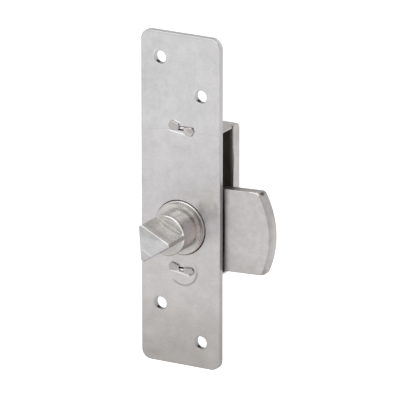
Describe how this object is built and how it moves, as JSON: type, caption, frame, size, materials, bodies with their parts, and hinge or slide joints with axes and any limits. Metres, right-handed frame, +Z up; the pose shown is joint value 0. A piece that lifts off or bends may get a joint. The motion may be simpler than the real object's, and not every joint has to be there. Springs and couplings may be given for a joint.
{
  "type": "triangle key latch",
  "caption": "Surface latch with a slim screw-on face plate, a triangular key nose on a turned spindle and a flat cam bolt that swings out of a bent sheet case behind the plate",
  "frame": {"origin": "middle of the back face of the face plate, which is the centre of both screw patterns and rests on the door", "axes": "+X to the right as seen from the front, +Y into the door, +Z up along the plate"},
  "size_m": [0.056, 0.0415, 0.135],
  "materials": {
    "plate_steel": "satin zinc-plated steel with fine mottling",
    "sheet_steel": "satin zinc-plated sheet steel",
    "turned_steel": "turned and milled steel, zinc plated",
    "tongue_steel": "satin zinc-plated steel with a slightly uneven face",
    "spring_steel": "oiled spring steel"
  },
  "bodies": {
    "housing": {"face_plate": "plate_steel", "case": "sheet_steel", "spacer_bush": "spring_steel", "disc_spring_1": "spring_steel", "disc_spring_2": "spring_steel"},
    "bolt": {"spindle": "turned_steel", "tongue": "tongue_steel", "retaining_ring": "spring_steel"}
  },
  "joints": [
    {"name": "tongue_swing", "type": "hinge", "parent": "housing", "child": "bolt", "pos_m": [0, 0, -0.0109], "axis": [0, -1, 0], "range_deg": [-3.4, 178]}
  ]
}
